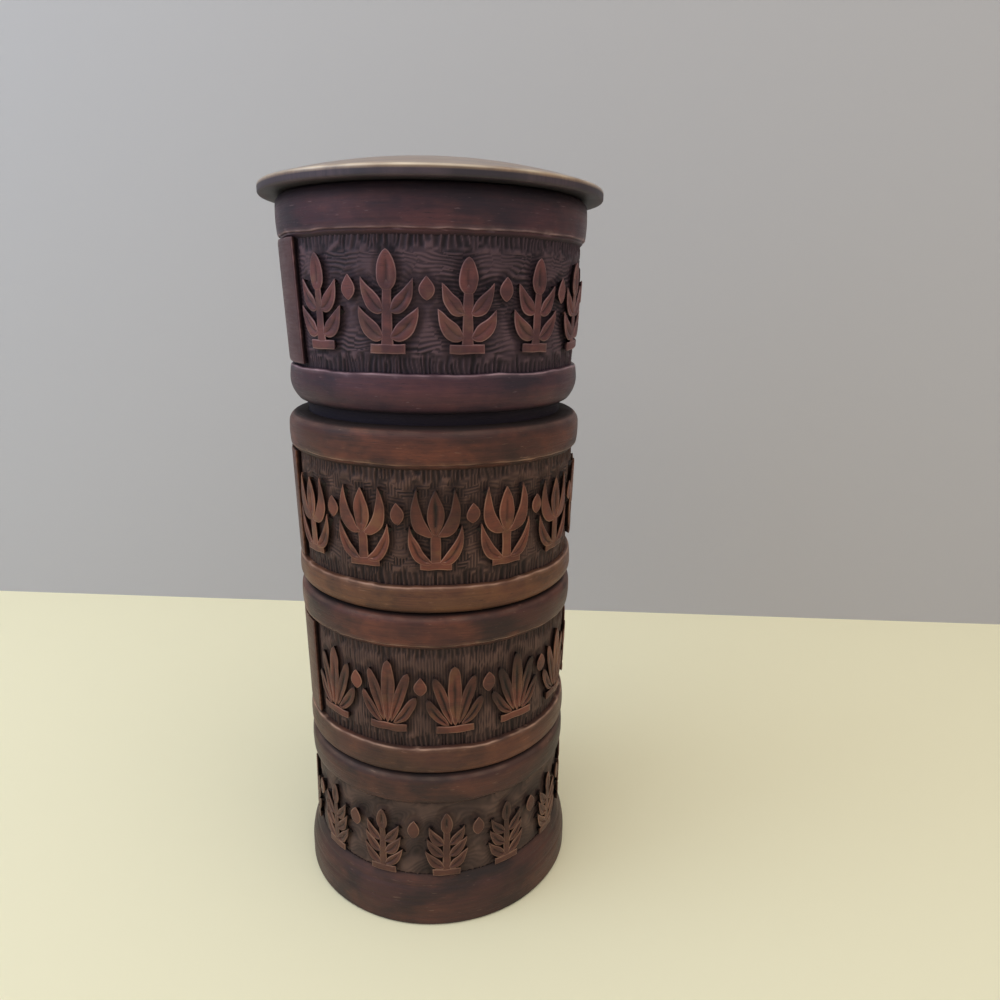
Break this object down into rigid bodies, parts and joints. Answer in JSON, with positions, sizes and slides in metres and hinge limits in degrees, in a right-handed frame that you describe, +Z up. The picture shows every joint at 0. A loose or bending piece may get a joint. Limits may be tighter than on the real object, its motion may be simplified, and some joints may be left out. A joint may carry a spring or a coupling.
{
  "type": "spice tower",
  "caption": "Stacking wooden spice tower: turned cups with plain bands round sunk friezes, each closed by the spigot of the piece above, under a thin overhanging domed lid.",
  "frame": {"origin": "centre of the foot, on the surface that the tower stands on", "axes": "+Z up along the axis that the pieces were turned on, front towards -Y"},
  "size_m": [0.0844, 0.0844, 0.1921],
  "materials": {
    "tier_wood": "dark stained wood, waxed, worn lighter on the raised edges",
    "lid_wood": "dark wood polished by handling"
  },
  "bodies": {
    "base_tier": {"base_tier": "tier_wood"},
    "third_tier": {"third_tier": "tier_wood"},
    "second_tier": {"second_tier": "tier_wood"},
    "first_tier": {"first_tier": "tier_wood"},
    "lid": {"lid": "lid_wood"}
  },
  "joints": [
    {"name": "third_tier_lift", "type": "slide", "parent": "base_tier", "child": "third_tier", "axis": [0, 0, 1], "range_m": [0, 0.06]},
    {"name": "second_tier_lift", "type": "slide", "parent": "third_tier", "child": "second_tier", "axis": [0, 0, 1], "range_m": [0, 0.06]},
    {"name": "first_tier_lift", "type": "slide", "parent": "second_tier", "child": "first_tier", "axis": [0, 0, 1], "range_m": [0, 0.06]},
    {"name": "lid_lift", "type": "slide", "parent": "first_tier", "child": "lid", "axis": [0, 0, 1], "range_m": [0, 0.06]}
  ]
}
